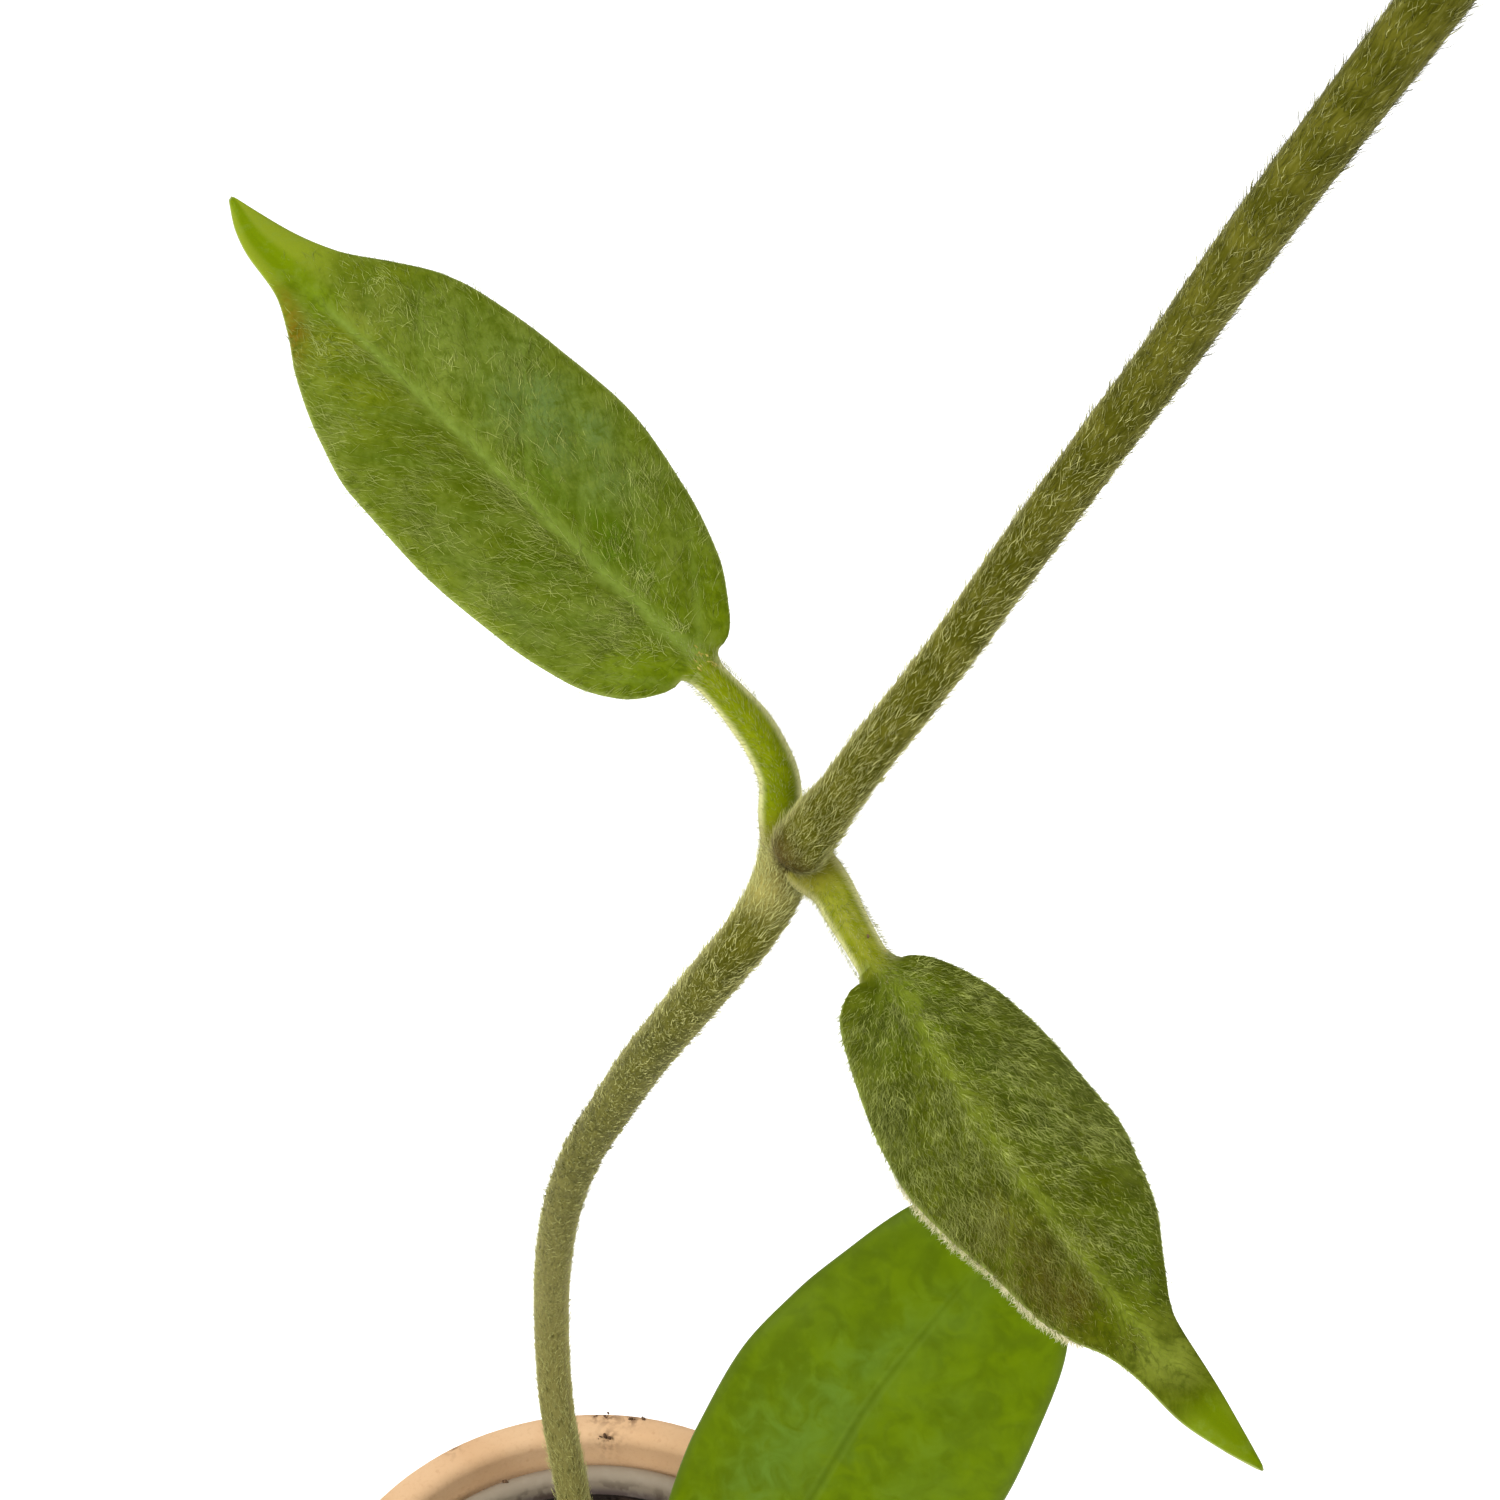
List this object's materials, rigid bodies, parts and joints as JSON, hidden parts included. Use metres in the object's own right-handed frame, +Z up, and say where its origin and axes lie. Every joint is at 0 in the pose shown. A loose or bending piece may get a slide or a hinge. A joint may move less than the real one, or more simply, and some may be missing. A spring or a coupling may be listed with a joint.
{
  "type": "potted hoya vine",
  "caption": "Young hairy climbing vine in a small clay pot with a liner: a bent stem, opposite leaves with long pointed tips, and smooth leaves low down.",
  "frame": {"origin": "centre of the pot's flat underside", "axes": "+Z up out of the pot, -Z out of its underside, +Y away from the viewer"},
  "size_m": [0.162, 0.1232, 0.3644],
  "materials": {
    "clay": "fired, unglazed, smooth",
    "liner": "moulded, satin",
    "soil": "potting mix with bark, matt",
    "stem": "green bark with short pale hairs",
    "young_leaf": "soft, with fine pale hairs",
    "mature_leaf": "smooth, waxy gloss"
  },
  "bodies": {
    "root": {"clay_pot": "clay", "nursery_liner": "liner", "soil": "soil", "stem": "stem", "leaf_young_left": "young_leaf", "leaf_young_right": "young_leaf", "leaf_upper_front": "young_leaf", "leaf_upper_back": "young_leaf", "leaf_mature_right": "mature_leaf", "leaf_mature_left": "mature_leaf"}
  },
  "joints": []
}
